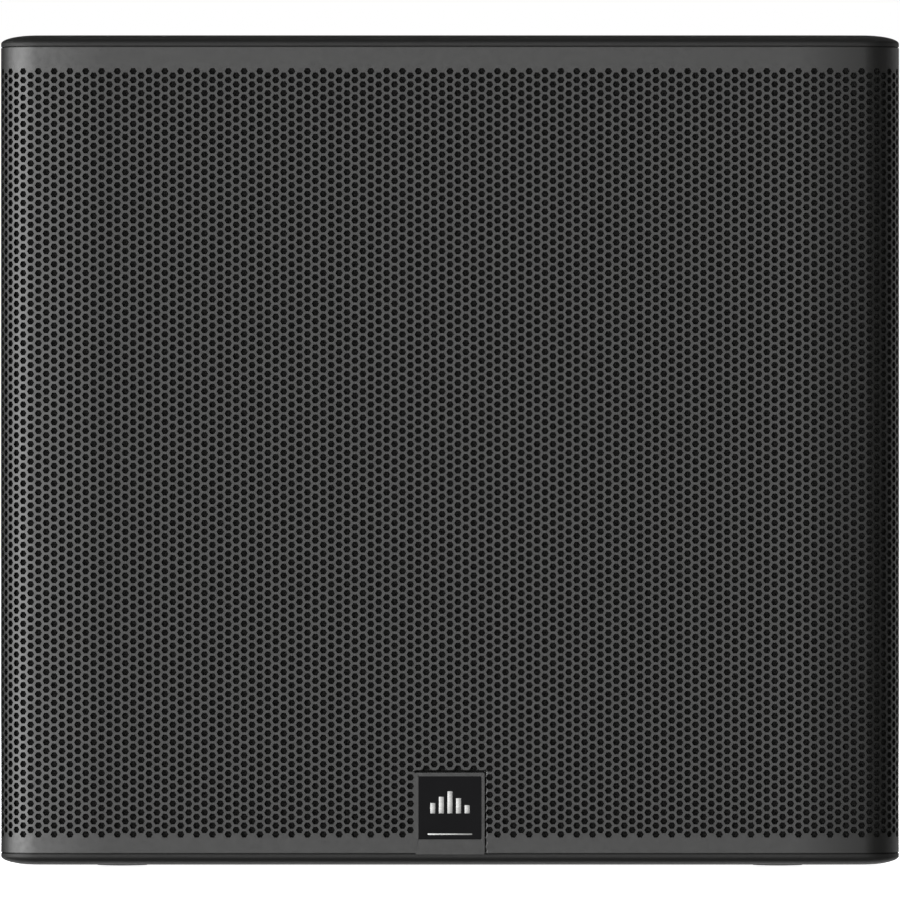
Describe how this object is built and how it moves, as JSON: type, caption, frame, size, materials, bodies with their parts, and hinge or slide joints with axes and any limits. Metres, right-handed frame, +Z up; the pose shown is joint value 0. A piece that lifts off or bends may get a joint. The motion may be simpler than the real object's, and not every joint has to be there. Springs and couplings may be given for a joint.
{
  "type": "powered subwoofer cabinet",
  "caption": "Powered bass loudspeaker cabinet with a wrapped perforated grille, slot port, side handles, pole socket and rear amplifier.",
  "frame": {"origin": "centre of the footprint at floor level, under the rubber feet", "axes": "+Z up; the grille faces -Y and the amplifier +Y; +X is to the right seen from the front"},
  "size_m": [0.65, 0.6816, 0.604],
  "materials": {
    "painted_ply": "black textured water-based paint on birch plywood",
    "raw_ply": "bare birch plywood",
    "grille_steel": "fine dark grey powder coat on perforated steel",
    "badge_gloss": "glossy black",
    "open_foam": "open-cell black acoustic foam",
    "wadding": "pale fibre wadding",
    "cast_frame": "black painted casting",
    "zinc_steel": "bright zinc plate",
    "black_steel": "black oxide",
    "ferrite": "dark sintered ferrite",
    "cone_paper": "black fibre-loaded pulp",
    "surround_cloth": "impregnated black cloth",
    "spider_cloth": "resin-treated amber cloth",
    "coil_copper": "enamelled copper",
    "black_plastic": "fine moulded texture",
    "grey_plastic": "moulded grey",
    "black_rubber": "matt black rubber",
    "terminal_red": "dark red moulding",
    "lead_black": "black sleeving",
    "board_green": "solder mask",
    "board_parts": "sleeved capacitors and cores",
    "winding": "taped copper winding",
    "amp_black": "fine black powder coat",
    "fin_black": "black anodised",
    "tray_steel": "zinc plated sheet",
    "window_black": "smoked glossy window",
    "led_green": "tinted lens"
  },
  "bodies": {
    "cabinet": {"top_panel": "painted_ply", "bottom_panel": "painted_ply", "side_panel_L": "painted_ply", "side_panel_R": "painted_ply", "rear_panel": "painted_ply", "front_baffle": "painted_ply", "port_shelf": "painted_ply", "port_divider": "painted_ply", "brace_horizontal": "raw_ply", "brace_vertical": "raw_ply", "amp_frame": "raw_ply", "damping_wadding": "wadding", "grille": "grille_steel", "grille_foam": "open_foam", "grille_screws": "black_steel", "badge_frame": "grille_steel", "badge_insert": "badge_gloss", "driver_basket": "cast_frame", "driver_gasket": "black_rubber", "driver_bolts": "zinc_steel", "surround": "surround_cloth", "spider": "spider_cloth", "front_plate": "zinc_steel", "magnet_ring": "ferrite", "back_plate": "zinc_steel", "terminal_block": "terminal_red", "driver_lead": "lead_black", "pole_cup": "black_plastic", "pole_cup_screws": "black_steel", "handle_cup_L": "black_plastic", "handle_cup_R": "black_plastic", "handle_grip_L": "black_rubber", "handle_grip_R": "black_rubber", "handle_screws": "black_steel", "feet": "black_rubber", "foot_screws": "zinc_steel", "amp_plate": "amp_black", "heatsink": "fin_black", "amp_chassis": "tray_steel", "circuit_board": "board_green", "board_components": "board_parts", "power_transformer": "winding", "amp_screws": "black_steel", "display_window": "window_black", "status_leds": "led_green", "input_sockets": "black_plastic", "output_sockets": "black_plastic", "mains_inlet": "black_plastic", "switch_bezel": "black_plastic"},
    "cone_assembly": {"cone": "cone_paper", "dust_cap": "cone_paper", "voice_coil": "coil_copper"},
    "encoder": {"encoder_shaft": "zinc_steel"},
    "knob": {"select_knob": "black_plastic"},
    "button": {"menu_button": "grey_plastic"},
    "rocker": {"power_rocker": "black_plastic"},
    "latch_left": {"latch_1": "zinc_steel"},
    "latch_right": {"latch_2": "zinc_steel"}
  },
  "joints": [
    {"name": "cone_excursion", "type": "slide", "parent": "cabinet", "child": "cone_assembly", "axis": [0, -1, 0], "range_m": [-0.009, 0.009], "stiffness_N_per_m": 6000, "deforming": ["surround", "spider"]},
    {"name": "encoder_spin", "type": "hinge", "parent": "cabinet", "child": "encoder", "pos_m": [0.02, 0.32, 0.3], "axis": [0, 1, 0], "continuous": true},
    {"name": "knob_push", "type": "slide", "parent": "encoder", "child": "knob", "axis": [0, -1, 0], "range_m": [0, 0.0008], "stiffness_N_per_m": 1200},
    {"name": "menu_press", "type": "slide", "parent": "cabinet", "child": "button", "axis": [0, -1, 0], "range_m": [0, 0.0012], "stiffness_N_per_m": 300},
    {"name": "power_switch", "type": "hinge", "parent": "cabinet", "child": "rocker", "pos_m": [-0.095, 0.32455, 0.215], "axis": [1, 0, 0], "range_deg": [0, 16]},
    {"name": "latch_left_press", "type": "slide", "parent": "cabinet", "child": "latch_left", "axis": [0, -1, 0], "range_m": [0, 0.0015], "stiffness_N_per_m": 300},
    {"name": "latch_right_press", "type": "slide", "parent": "cabinet", "child": "latch_right", "axis": [0, -1, 0], "range_m": [0, 0.0015], "stiffness_N_per_m": 300}
  ]
}
